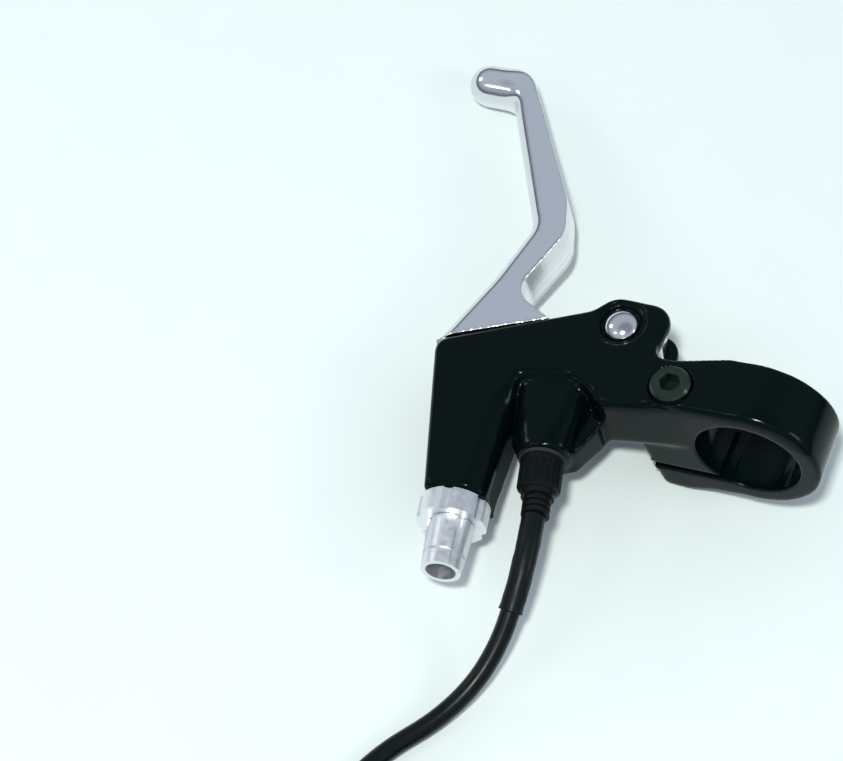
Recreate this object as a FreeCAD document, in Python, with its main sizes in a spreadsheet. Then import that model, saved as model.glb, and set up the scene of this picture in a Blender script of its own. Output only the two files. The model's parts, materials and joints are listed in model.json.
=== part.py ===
import FreeCAD, Part

# Right-hand bicycle brake lever with a motor cut-off switch and its lead.
#
# Frame: the origin is the centre of the handlebar bore, +Y runs along the handlebar towards the grip,
# +Z is up from the table that the lever lies on, and the lever body is on the -X side of the bar.
# Every rigid piece is drawn in the "lever frame", in which the casting's top face is level, and its
# Placement then rolls it about the bar axis into the lever's resting pose. The lead is drawn as it lies.

import math
import os

import Sketcher
from FreeCAD import Placement, Rotation, Vector

SIZES = {
    # resting pose
    "rest_roll": -17.5, "table_level": -22.0,
    # handlebar clamp
    "bar_radius": 11.1, "ring_radius": 15.3, "ring_width": 13.5,
    "slit_gap": 1.6, "slit_level": -9.6, "slit_reach": 19.0,
    # casting
    "plate_bottom": -1.0, "plate_top": 14.5, "slot_bottom": 2.5, "slot_top": 11.5,
    "rim_round": 1.6,
    # clamp bolt (M5 socket head)
    "bolt_x": -15.8, "bolt_y": -1.9, "bolt_seat": 10.8, "bolt_head_radius": 4.2,
    "bolt_head_height": 5.0, "bolt_radius": 2.5, "bolt_end": -15.2, "bolt_key_width": 4.0,
    "bolt_key_depth": 3.0, "thread_play": 0.05,
    # pivot
    "pivot_x": -30.9, "pivot_y": 10.5, "pin_radius": 2.5, "pin_head_radius": 3.7,
    "pin_head_height": 2.1, "recess_depth": 0.6, "recess_radius": 5.5, "pin_seat": 12.9,
    "pin_end": -5.0, "nut_width": 8.0, "nut_height": 3.4, "washer_thickness": 0.4,
    "washer_radius": 6.0, "hub_radius": 7.5, "hub_gap": 0.05, "bush_radius": 3.4, "bush_play": 0.05,
    "spring_wire": 0.9, "spring_radius": 4.9, "spring_room": 2.3,
    # blade
    "blade_bottom": 1.7, "blade_top": 12.2, "nipple_radius": 3.6,
    "cable_slot": 1.6,
    # brake cable adjuster (M8 thread)
    "adjuster_x": -51.5, "adjuster_y": -34.9, "adjuster_level": 7.6, "adjuster_thread": 4.0,
    "adjuster_engagement": 10.0, "lock_ring_radius": 7.15, "lock_ring_length": 4.8,
    "barrel_base_radius": 4.9, "barrel_tip_radius": 4.1, "barrel_length": 10.6, "barrel_turn": -40.0,
    "housing_radius": 3.1, "housing_depth": 8.0, "brake_cable_radius": 1.0,
    # switch in its boss
    "switch_x": -38.1, "switch_y": -20.4, "switch_level": 7.0, "boss_end_radius": 5.5,
    "boss_length": 17.2, "switch_radius": 3.8, "switch_depth": 14.0, "plunger_radius": 1.2,
    "plunger_stroke": 1.5, "plunger_reach": 6.3,
    "plunger_flange": 2.2, "plunger_bore": 2.4, "plunger_spring_radius": 1.7,
    "plunger_spring_wire": 0.45, "terminal_radius": 0.55, "seal_radius": 4.1, "seal_wire": 0.7,
    # cable gland and lead
    "gland_radius": 4.45, "gland_length": 7.2, "relief_collar": 3.4, "relief_radius": 2.9,
    "lead_radius": 2.0, "sleeve_radius": 2.5, "sleeve_length": 21.0,
    # coil of the spare lead, and its plug
    "coil_radius": 23.0, "coil_width": 16.6, "coil_height": 8.3, "tie_width": 5.0,
    "tie_thickness": 0.8, "plug_length": 19.0, "plug_width": 7.6, "plug_height": 5.4,
    "contact_radius": 0.8, "contact_pitch": 2.5,
}

doc = FreeCAD.newDocument("BrakeLever")
sheet = doc.addObject("Spreadsheet::Sheet", "Sizes")
for row, (alias, number) in enumerate(SIZES.items(), start=1):
    sheet.set(f"A{row}", alias)
    sheet.set(f"B{row}", str(number))
    sheet.setAlias(f"B{row}", alias)
doc.recompute()


class Size:
    """A number that remembers the sheet expression it comes from, so that features can be bound to it."""

    def __init__(self, number, text):
        self.number = float(number)
        self.text = text

    def __float__(self):
        return self.number

    def __add__(self, other):
        other = as_size(other)
        return Size(self.number + other.number, f"({self.text} + {other.text})")

    def __sub__(self, other):
        other = as_size(other)
        return Size(self.number - other.number, f"({self.text} - {other.text})")

    def __mul__(self, other):
        other = as_size(other)
        return Size(self.number * other.number, f"({self.text} * {other.text})")

    def __truediv__(self, other):
        other = as_size(other)
        return Size(self.number / other.number, f"({self.text} / {other.text})")

    def __neg__(self):
        return Size(-self.number, f"(0 - {self.text})")


def as_size(item):
    return item if isinstance(item, Size) else Size(item, f"({float(item)!r})")


def size(alias):
    return Size(SIZES[alias], f"Sizes.{alias}")


def bind(item, prop, amount):
    """Sets a feature's property and keeps it tied to the sheet."""
    amount = as_size(amount)
    setattr(item, prop, amount.number)
    item.setExpression(prop, amount.text)


# ---------------------------------------------------------------- frames

ROLL = Placement(Vector(), Rotation(Vector(0, 1, 0), SIZES["rest_roll"]))
ALONG_Z = Placement()


def pose(point, axis=(0, 0, 1), across=(1, 0, 0)):
    """A placement at a point, with its Z along axis and its X as near to across as it can be."""
    place = Rotation(Vector(*across), Vector(), Vector(*axis), "ZXY")
    return Placement(Vector(*[float(value) for value in point]), place)


def unit(x, y):
    return (x / math.hypot(x, y), y / math.hypot(x, y), 0.0)


PIVOT = (SIZES["pivot_x"], SIZES["pivot_y"], 0.0)
BOLT = (SIZES["bolt_x"], SIZES["bolt_y"], 0.0)
ADJUSTER_AXIS = unit(0.165, -1.0)
ADJUSTER = (SIZES["adjuster_x"], SIZES["adjuster_y"], SIZES["adjuster_level"])
SWITCH_AXIS = unit(0.236, -1.0)
SWITCH = (SIZES["switch_x"], SIZES["switch_y"], SIZES["switch_level"])
# pieces on the adjuster and the switch are drawn with Z along their axis, out of the casting
ADJUSTER_POSE = pose(ADJUSTER, ADJUSTER_AXIS, (0, 0, 1))
SWITCH_POSE = pose(SWITCH, SWITCH_AXIS, (0, 0, 1))

# ---------------------------------------------------------------- helpers

pieces = []


def keep(piece, place):
    """Registers a finished sub-part and rolls it into the resting pose."""
    piece.Placement = ROLL.multiply(place)
    pieces.append(piece)
    return piece


def new_body(label):
    body = doc.addObject("PartDesign::Body", label)
    body.Label = label
    return body


def sketch_on(body, name, plane="XY_Plane", offset=ALONG_Z):
    sketch = body.newObject("Sketcher::SketchObject", name)
    origin_plane = [item for item in body.Origin.OriginFeatures if item.Role == plane][0]
    sketch.AttachmentSupport = [(origin_plane, "")]
    sketch.MapMode = "FlatFace"
    sketch.AttachmentOffset = offset
    return sketch


def lifted(level):
    return Placement(Vector(0, 0, float(level)), Rotation())


def add_circle(sketch, centre, radius):
    radius = as_size(radius)
    middle = Vector(float(centre[0]), float(centre[1]), 0)
    index = sketch.addGeometry(Part.Circle(middle, Vector(0, 0, 1), radius.number), False)
    bound = sketch.addConstraint(Sketcher.Constraint("Radius", index, radius.number))
    sketch.setExpression(f"Constraints[{bound}]", radius.text)


def add_polygon(sketch, points):
    """A closed polygon whose corners are each tied to the sheet."""
    count = len(points)
    corners = [(as_size(across), as_size(up)) for across, up in points]
    for index, (across, up) in enumerate(corners):
        after = corners[(index + 1) % count]
        start = Vector(across.number, up.number, 0)
        sketch.addGeometry(Part.LineSegment(start, Vector(after[0].number, after[1].number, 0)), False)
    for index in range(count):
        sketch.addConstraint(Sketcher.Constraint("Coincident", index, 2, (index + 1) % count, 1))
    for index, corner in enumerate(corners):
        for kind, value in zip(("DistanceX", "DistanceY"), corner):
            bound = sketch.addConstraint(Sketcher.Constraint(kind, -1, 1, index, 1, value.number))
            sketch.setExpression(f"Constraints[{bound}]", value.text)


def add_outline(sketch, corners):
    """A closed outline of straight lines whose corners (x, y, radius) are rounded by tangent arcs."""
    count = len(corners)
    points = [Vector(corner[0], corner[1], 0) for corner in corners]
    spans = []
    for index, corner in enumerate(corners):
        radius = corner[2] if len(corner) > 2 else 0.0
        point = points[index]
        back = (points[index - 1] - point).normalize()
        ahead = (points[(index + 1) % count] - point).normalize()
        if radius <= 0.0:
            spans.append((point, point, None))
            continue
        half = back.getAngle(ahead) / 2
        reach = radius / math.tan(half)
        middle = point + (back + ahead).normalize() * (radius / math.sin(half))
        crown = middle + (point - middle).normalize() * radius
        spans.append((point + back * reach, point + ahead * reach, crown))
    edges = []
    for index, (start, finish, crown) in enumerate(spans):
        if crown is not None:
            edges.append(Part.Arc(start, crown, finish))
        after = spans[(index + 1) % count][0]
        if (after - finish).Length > 1e-6:
            edges.append(Part.LineSegment(finish, after))
    for edge in edges:
        sketch.addGeometry(edge, False)


def hexagon(width):
    """The corners of a hexagon, from its width across the flats."""
    radius = width / math.sqrt(3)
    turns = [math.radians(60 * step) for step in range(6)]
    return [(radius * math.cos(turn), radius * math.sin(turn)) for turn in turns]


def pad(body, sketch, length, symmetric=False, backwards=False):
    feature = body.newObject("PartDesign::Pad", f"Pad_{sketch.Name}")
    feature.Profile = sketch
    if symmetric:
        feature.SideType = "Symmetric"
    feature.Reversed = backwards
    bind(feature, "Length", length)
    return feature


def cut(body, sketch, depth, symmetric=False, backwards=False):
    """A pocket that has to take material away."""
    doc.recompute()
    before = body.Shape.Volume
    feature = body.newObject("PartDesign::Pocket", f"Pocket_{sketch.Name}")
    feature.Profile = sketch
    if symmetric:
        feature.SideType = "Symmetric"
    feature.Reversed = backwards
    bind(feature, "Length", depth)
    doc.recompute()
    if body.Shape.Volume > before - 1e-3:
        raise RuntimeError(f"{body.Label}: {sketch.Name} cuts nothing")
    return feature


def bore(body, name, steps, offset):
    """A stepped round hole: steps are (radius, start, end) along the offset's Z axis."""
    for index, (radius, start, end) in enumerate(steps):
        place = offset.multiply(lifted(start))
        sketch = sketch_on(body, f"{name}{index}", "XY_Plane", place)
        add_circle(sketch, (0, 0), radius)
        cut(body, sketch, as_size(end) - as_size(start), backwards=True)


def revolve(body, sketch):
    feature = body.newObject("PartDesign::Revolution", f"Turn_{sketch.Name}")
    feature.Profile = sketch
    feature.ReferenceAxis = (sketch, ["V_Axis"])
    feature.Angle = 360
    return feature


def turned(label, profile, place):
    """A round piece from its half section of (radius, height) points, about its own Z axis."""
    body = new_body(label)
    sketch = sketch_on(body, f"{label}_section", "XZ_Plane")
    add_polygon(sketch, profile)
    revolve(body, sketch)
    doc.recompute()
    keep(body, place)
    return body


def round_edges(body, radius, chosen, kind="PartDesign::Fillet"):
    """Fillets or chamfers the edges of the body's tip that chosen(edge) accepts."""
    doc.recompute()
    base = body.Tip
    names = [f"Edge{index}" for index, edge in enumerate(base.Shape.Edges, start=1) if chosen(edge)]
    if not names:
        raise RuntimeError(f"{body.Label}: no edge to round")
    feature = body.newObject(kind, f"Round_{body.Label}")
    feature.Base = (base, names)
    prop = "Radius" if kind.endswith("Fillet") else "Size"
    bind(feature, prop, radius)
    doc.recompute()
    return feature


def circle_at(radius, level):
    """Accepts a body's full circles of one radius at one height on its Z axis."""
    def chosen(edge):
        curve = edge.Curve
        same = isinstance(curve, Part.Circle) and abs(curve.Radius - float(radius)) < 1e-3
        return same and abs(curve.Center.z - float(level)) < 1e-3
    return chosen


def ring_of(body, feature, count):
    """Repeats a feature evenly round the body's Z axis."""
    pattern = body.newObject("PartDesign::PolarPattern", f"Ring_{feature.Name}")
    pattern.Originals = [feature]
    axis = [item for item in body.Origin.OriginFeatures if item.Role == "Z_Axis"][0]
    pattern.Axis = (axis, [""])
    pattern.Angle = 360
    pattern.Occurrences = count
    body.Tip = pattern
    doc.recompute()
    return pattern


def shaped(label, shape, place, rolled=True):
    """A sub-part whose shape Part's own functions make."""
    piece = doc.addObject("Part::Feature", label)
    piece.Label = label
    piece.Shape = shape
    if rolled:
        return keep(piece, place)
    piece.Placement = place
    pieces.append(piece)
    return piece


def rounded_path(points):
    """Straight runs joined by tangent arcs, each as large as its two runs allow."""
    points = [Vector(*point) for point in points]
    edges = []
    here = points[0]
    for before, corner, after in zip(points, points[1:], points[2:]):
        back, ahead = (before - corner), (after - corner)
        run = min(back.Length, ahead.Length)
        back.normalize()
        ahead.normalize()
        turn = math.pi - back.getAngle(ahead)
        reach = 0.45 * run
        radius = reach / math.tan(turn / 2)
        start, finish = corner + back * reach, corner + ahead * reach
        middle = corner + (back + ahead).normalize() * (radius / math.cos(turn / 2))
        crown = middle + (corner - middle).normalize() * radius
        edges.append(Part.LineSegment(here, start).toShape())
        edges.append(Part.Arc(start, crown, finish).toShape())
        here = finish
    edges.append(Part.LineSegment(here, points[-1]).toShape())
    return edges


def trimmed(edges, start, finish):
    """The stretch of a chain of edges between two distances along it."""
    chosen, travelled = [], 0.0
    for edge in edges:
        first, last = max(start - travelled, 0.0), min(finish - travelled, edge.Length)
        if last - first > 1e-6:
            low = edge.getParameterByLength(first)
            high = edge.getParameterByLength(last)
            chosen.append(edge.Curve.toShape(low, high))
        travelled += edge.Length
    return chosen


def tube(edges, radius, inner=0.0):
    """A round tube swept along a smooth chain of edges."""
    path = Part.Wire(edges)
    start = edges[0].valueAt(edges[0].FirstParameter)
    direction = edges[0].tangentAt(edges[0].FirstParameter)
    shapes = []
    for section_radius in (radius, inner):
        if section_radius > 0:
            section = Part.Wire(Part.makeCircle(section_radius, start, direction))
            shapes.append(path.makePipeShell([section], True, False))
    result = shapes[0] if len(shapes) == 1 else shapes[0].cut(shapes[1])
    expected = math.pi * (radius ** 2 - inner ** 2) * path.Length
    if abs(result.Volume / expected - 1) > 0.01:
        raise RuntimeError("a tube's volume doesn't match its section and length")
    return result


def helix_spring(radius, wire, pitch, turns):
    """A coil of round wire about the Z axis, from z = 0, in short chords with rounded corners."""
    steps = round(turns * 16)
    points = []
    for step in range(steps + 1):
        angle = 2 * math.pi * turns * step / steps
        points.append((radius * math.cos(angle), radius * math.sin(angle), pitch * turns * step / steps))
    return tube(rounded_path(points), wire / 2)


# ---------------------------------------------------------------- casting

# Plan of the casting's plate, in the lever frame: (x, y, corner radius)
FRONT_SLOPE = 0.4776


def front_line(x):
    """Y of the edge that the blade comes out of."""
    return FRONT_SLOPE * (x - PIVOT[0]) + 15.8


PLATE_OUTLINE = [
    (-67.6, front_line(-67.6), 3.0),
    (-37.6, front_line(-37.6), 6.0),
    (-34.2, 16.7, 5.0),
    (-20.6, 16.7, 4.5),
    (-21.8, 4.1, 2.4),
    (-12.0, 4.6),
    (-12.0, -6.8),
    (-20.0, -7.8),
    (-29.2, -9.2, 2.0),
    (-32.6, -6.0, 4.0),
    (-37.0, -3.8, 4.0),
    (-47.4, -6.4, 1.5),
    (-44.7, -33.8),
    (-57.0, -35.8),
]

# Plan of the casting under the switch
BOSS_OUTLINE = [
    (-28.2, -5.0),
    (-29.6, -11.0, 3.0),
    (-32.6, -18.2, 2.0),
    (-36.0, -20.0),
    (-41.5, -21.0),
    (-46.0, -8.0),
    (-46.0, -5.0),
]

# Side view of the clamp arm and its lug: (x, z, corner radius)
ARM_OUTLINE = [
    (-27.0, 14.5),
    (-2.0, 15.15),
    (-2.0, -15.1),
    (-9.0, -15.6),
    (-14.8, -17.2, 2.0),
    (-20.3, -16.9, 1.8),
    (-22.2, -7.6, 1.2),
    (-24.0, -1.6, 2.5),
    (-30.0, -0.6),
]

# Plan of the room between the ears that the blade's root swings in
SLOT_OUTLINE = [
    (-72.0, 24.0),
    (-72.0, -9.0),
    (-64.2, -9.0, 2.5),
    (-52.0, -7.2, 3.0),
    (-42.5, -1.8, 3.0),
    (-34.5, 1.5, 3.0),
    (-25.4, 2.2, 3.0),
    (-23.3, 5.2, 0.6),
    (-12.0, 5.2),
    (-12.0, 24.0),
]


def lever_bracket():
    body = new_body("lever_bracket")
    plate = sketch_on(body, "plate_outline", offset=lifted(SIZES["plate_bottom"]))
    add_outline(plate, PLATE_OUTLINE)
    pad(body, plate, size("plate_top") - size("plate_bottom"))

    def plate_rim(edge):
        box = edge.BoundBox
        level = box.ZLength < 1e-3 and edge.Length > 0.5
        return level and box.Center.x < -21.0 and (box.ZMin > 0 or box.XMax < -43.0)

    round_edges(body, size("rim_round"), plate_rim)

    arm = sketch_on(body, "arm_outline", "XZ_Plane")
    add_outline(arm, ARM_OUTLINE)
    pad(body, arm, size("ring_width"), symmetric=True)
    ring = sketch_on(body, "ring_circle", "XZ_Plane")
    add_circle(ring, (0, 0), size("ring_radius"))
    pad(body, ring, size("ring_width"), symmetric=True)

    # the arm is waisted on its rear side, between the ear and the ring
    waist = sketch_on(body, "arm_waist", offset=lifted(-20))
    add_outline(waist, [(-21.8, 4.1, 2.2), (-17.0, 4.1, 8.0), (-4.0, 7.2), (-4.0, 9.0), (-21.33, 9.0)])
    cut(body, waist, 45.0, backwards=True)

    # the switch boss is oval where it leaves the casting and round at its end
    foot = SWITCH_POSE.multiply(lifted(-SIZES["boss_length"]))
    wide = sketch_on(body, "boss_foot", offset=foot)
    wide.addGeometry(Part.Ellipse(Vector(0, 7.6, 0), Vector(6.0, 0, 0), Vector()), False)
    narrow = sketch_on(body, "boss_end", offset=SWITCH_POSE)
    add_circle(narrow, (0, 0), size("boss_end_radius"))
    boss = body.newObject("PartDesign::AdditiveLoft", "Boss")
    boss.Profile = wide
    boss.Sections = [narrow]
    doc.recompute()

    # under the switch the casting is carried down to its flat underside
    under = sketch_on(body, "boss_underside", offset=lifted(SIZES["plate_bottom"]))
    add_outline(under, BOSS_OUTLINE)
    pad(body, under, size("switch_level") - size("plate_bottom"))
    # a web fills the crease between the boss and the adjuster's side of the casting
    web = sketch_on(body, "boss_web", offset=lifted(SIZES["switch_level"]))
    add_polygon(web, [(-45.8, -5.0), (-40.0, -5.0), (-40.4, -19.0), (-45.2, -20.4)])
    pad(body, web, 3.2)
    # the underside rises towards the end of the adjuster boss
    rise = sketch_on(body, "underside_rise", "YZ_Plane")
    low = size("plate_bottom") - 0.5
    add_polygon(rise, [(-10.0, low), (-10.0, low + 0.5), (-38.0, size("plate_bottom") + 3.9), (-38.0, low)])
    cut(body, rise, 200.0, symmetric=True)

    slot = sketch_on(body, "blade_slot", offset=lifted(SIZES["slot_bottom"]))
    add_outline(slot, SLOT_OUTLINE)
    cut(body, slot, size("slot_top") - size("slot_bottom"), backwards=True)

    # switch bore, then the plunger's own small bore into the blade slot
    bore(body, "switch_bore", [
        (size("switch_radius"), -size("switch_depth"), 1.0),
        (size("plunger_radius") + 0.1, -size("switch_depth") - 10.0, -size("switch_depth") + 0.5),
    ], SWITCH_POSE)
    # threaded bore of the adjuster, then the brake cable's way into the slot
    bore(body, "adjuster_bore", [
        (size("adjuster_thread") + size("thread_play"), -size("adjuster_engagement") - 2.0, 3.0),
        (size("brake_cable_radius") + 0.6, as_size(-32.0), -size("adjuster_engagement")),
    ], ADJUSTER_POSE)
    # clamp bolt: counterbore, clearance hole in the arm, threaded hole in the lug
    bore(body, "bolt_bore", [
        (size("bolt_head_radius") + 0.35, size("bolt_seat"), 18.0),
        (size("bolt_radius") + 0.3, size("slit_level"), size("bolt_seat") + 0.5),
        (size("bolt_radius") + size("thread_play"), -20.0, size("slit_level") + 0.5),
    ], pose(BOLT))
    # pivot: two-step recess for the pin's head and a hole through both ears
    bore(body, "pivot_bore", [
        (size("recess_radius"), size("plate_top") - size("recess_depth"), 16.0),
        (size("pin_head_radius") + 0.7, size("pin_seat"), 16.0),
        (size("pin_radius"), -3.0, size("pin_seat") + 0.5),
    ], pose(PIVOT))

    # handlebar bore, and the slit that lets the bolt close it
    bar = sketch_on(body, "bar_bore", "XZ_Plane")
    add_circle(bar, (0, 0), size("bar_radius"))
    cut(body, bar, size("ring_width") + 8.0, symmetric=True)
    slit = sketch_on(body, "clamp_slit", "XZ_Plane")
    low = size("slit_level") - size("slit_gap") / 2
    high = size("slit_level") + size("slit_gap") / 2
    outer, inner = -size("slit_reach") - 6.0, as_size(-4.5)
    add_polygon(slit, [(outer, low), (inner, low), (inner, high), (outer, high)])
    cut(body, slit, 30.0, symmetric=True)

    return keep(body, Placement())


# ---------------------------------------------------------------- blade and pivot

# Plan of the blade outside the casting: (x, y, corner radius)
BLADE_OUTLINE = [
    (-68.6, -0.2),
    (-62.2, 17.4, 40.0),
    (-58.6, 31.6, 6.0),
    (-75.0, 63.4, 3.0),
    (-85.6, 63.6, 4.2),
    (-85.6, 72.1, 4.2),
    (-77.4, 72.1),
    (-72.0, 69.3, 8.0),
    (-53.2, 39.2, 9.0),
    (-50.6, 30.6, 9.0),
    (-56.2, 14.4, 4.6),
    (-46.4, 9.6),
]

# Plan of the blade's root between the ears
ROOT_OUTLINE = [
    (-68.6, -0.2),
    (-66.6, -4.6, 2.0),
    (-58.0, -5.6, 4.0),
    (-46.0, -1.8, 6.0),
    (-34.0, 4.0),
    (-27.0, 4.8),
    (-23.2, 6.0, 2.0),
    (-22.5, 9.5, 2.0),
    (-24.2, 17.0, 3.5),
    (-34.0, 17.0, 4.0),
    (-38.0, 13.2, 3.0),
    (-45.6, 9.4),
    (-56.0, 8.0),
    (-65.4, 2.8),
]


def brake_blade():
    body = new_body("brake_blade")
    low = size("slot_bottom") + size("washer_thickness") + size("hub_gap")
    high = size("slot_top") - size("washer_thickness") - size("hub_gap")
    grip = sketch_on(body, "blade_outline", offset=lifted(SIZES["blade_bottom"]))
    add_outline(grip, BLADE_OUTLINE)
    pad(body, grip, size("blade_top") - size("blade_bottom"))
    doc.recompute()

    def front_edge(edge):
        box = edge.BoundBox
        top = abs(box.ZMin - SIZES["blade_top"]) < 1e-3
        bottom = abs(box.ZMax - SIZES["blade_bottom"]) < 1e-3
        level = box.ZLength < 1e-3 and (top or bottom)
        middle = edge.valueAt((edge.FirstParameter + edge.LastParameter) / 2)
        before_knee = middle.x < -58.0 and middle.y < 31
        past_knee = middle.y > 31 and (middle.x < -57.0 - (middle.y - 31) * 0.5 or middle.x < -76.0)
        return level and (before_knee or past_knee)

    # the side that the fingers pull is rounded over
    round_edges(body, 3.2, front_edge)
    # the underside rises towards the knob
    low_side = size("blade_bottom")
    rise = sketch_on(body, "tip_rise", "YZ_Plane")
    add_outline(rise, [(34.0, low_side), (62.0, low_side + 2.4), (78.0, low_side + 2.8), (78.0, low_side - 1.0),
                       (34.0, low_side - 1.0)])
    cut(body, rise, 240.0, symmetric=True)
    hub = sketch_on(body, "hub_circle", offset=lifted(low).multiply(pose((PIVOT[0], PIVOT[1], 0))))
    add_circle(hub, (0, 0), size("hub_radius"))
    pad(body, hub, high - low)
    root = sketch_on(body, "root_outline", offset=lifted(low))
    add_outline(root, ROOT_OUTLINE)
    pad(body, root, high - low)
    doc.recompute()
    bore(body, "hub_bore", [
        (size("bush_radius"), low - 1.0, high + 1.0),
        (size("spring_radius") + 1.3, low - 1.0, low + size("spring_room")),
    ], pose((PIVOT[0], PIVOT[1], 0)))
    # seat of the brake cable's nipple, and the groove that its cable lies in
    anchor = (-57.6, 2.0, 0)
    bore(body, "nipple_seat", [(size("nipple_radius"), low - 1.0, high - 2.0)], pose(anchor))
    groove = sketch_on(body, "cable_groove", offset=pose((anchor[0], anchor[1], SIZES["adjuster_level"]),
                                                          ADJUSTER_AXIS, (0, 0, 1)))
    half = size("cable_slot") / 2
    add_polygon(groove, [(-6.0, -half), (half, -half), (half, half), (-6.0, half)])
    cut(body, groove, 12.0, backwards=True)
    return keep(body, Placement())


def pivot_parts():
    place = pose(PIVOT)
    seat, shank, head = size("pin_seat"), size("pin_radius"), size("pin_head_radius")
    top = seat + size("pin_head_height")
    pin = turned("pivot_pin", [
        (0.0, size("pin_end")), (shank, size("pin_end")), (shank, seat), (head, seat), (head, top), (0.0, top),
    ], place)
    round_edges(pin, 1.9, circle_at(head, top))

    nut = new_body("pivot_nut")
    under = size("plate_bottom") - size("nut_height")
    flats = sketch_on(nut, "nut_hexagon", offset=lifted(under))
    add_outline(flats, hexagon(SIZES["nut_width"]))
    pad(nut, flats, size("nut_height"))
    bore(nut, "nut_bore", [(size("pin_radius"), under - 1.0, size("plate_bottom") + 1.0)], Placement())
    keep(nut, place)

    low = size("slot_bottom") + size("washer_thickness") + size("hub_gap")
    high = size("slot_top") - size("washer_thickness") - size("hub_gap")
    inner, outer = size("pin_radius") + size("bush_play"), size("bush_radius")
    turned("pivot_bush", [(inner, low), (outer, low), (outer, high), (inner, high)], place)
    washer = size("washer_radius")
    bottom, top = size("slot_bottom"), size("slot_top")
    for label, start, end in (("lower_pivot_washer", bottom, bottom + size("washer_thickness")),
                              ("upper_pivot_washer", top - size("washer_thickness"), top)):
        turned(label, [(shank, start), (washer, start), (washer, end), (shank, end)], place)

    wire = SIZES["spring_wire"]
    coil = helix_spring(SIZES["spring_radius"], wire, wire + 0.06, 1.25)
    start = low.number + wire / 2 + 0.12
    shaped("blade_return_spring", coil, place.multiply(lifted(start)))


# ---------------------------------------------------------------- clamp bolt

def clamp_bolt():
    seat, radius = size("bolt_seat"), size("bolt_radius")
    head, top = size("bolt_head_radius"), size("bolt_seat") + size("bolt_head_height")
    bolt = turned("clamp_bolt", [
        (0.0, size("bolt_end")), (radius, size("bolt_end")), (radius, seat),
        (head, seat), (head, top), (0.0, top),
    ], pose(BOLT))
    key = sketch_on(bolt, "key_hexagon", offset=lifted(top))
    add_outline(key, hexagon(SIZES["bolt_key_width"]))
    cut(bolt, key, size("bolt_key_depth"))
    round_edges(bolt, 0.5, circle_at(head, top), "PartDesign::Chamfer")


# ---------------------------------------------------------------- brake cable adjuster

def adjuster_parts():
    """The lock ring and the barrel, with Z out of the casting from the end of its boss."""
    gap = 0.1
    start, end = as_size(gap), size("lock_ring_length") + gap
    thread = size("adjuster_thread")
    ring = turned("adjuster_lock_ring", [
        (thread + size("thread_play"), start), (size("lock_ring_radius"), start),
        (size("lock_ring_radius"), end), (thread + size("thread_play"), end),
    ], ADJUSTER_POSE)
    notch = sketch_on(ring, "grip_notch", offset=lifted(end))
    add_circle(notch, (size("lock_ring_radius") + 0.5, 0), 1.2)
    ring_of(ring, cut(ring, notch, size("lock_ring_length") + 1.0), 6)

    base, tip = size("barrel_base_radius"), size("barrel_tip_radius")
    foot = end + gap
    finish = foot + size("barrel_length")
    groove = finish - 3.4
    inner_end = -size("adjuster_engagement")
    way, seat = size("brake_cable_radius") + 0.3, size("housing_radius")
    barrel = turned("barrel_adjuster", [
        (way, inner_end), (thread, inner_end), (thread, foot), (base, foot),
        (tip + 0.25, groove), (tip - 0.1, groove), (tip - 0.1, groove + 0.5), (tip + 0.2, groove + 0.5),
        (tip, finish), (seat, finish), (seat, finish - size("housing_depth")),
        (way, finish - size("housing_depth")),
    ], ADJUSTER_POSE)
    # four flutes along the barrel
    mouth = Placement(Vector(0, 0, finish.number), Rotation(Vector(0, 0, 1), SIZES["barrel_turn"]))
    flute = sketch_on(barrel, "barrel_flute", offset=mouth)
    add_circle(flute, (base + 0.15, 0), 1.0)
    ring_of(barrel, cut(barrel, flute, size("barrel_length")), 4)


# ---------------------------------------------------------------- cut-off switch

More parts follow.
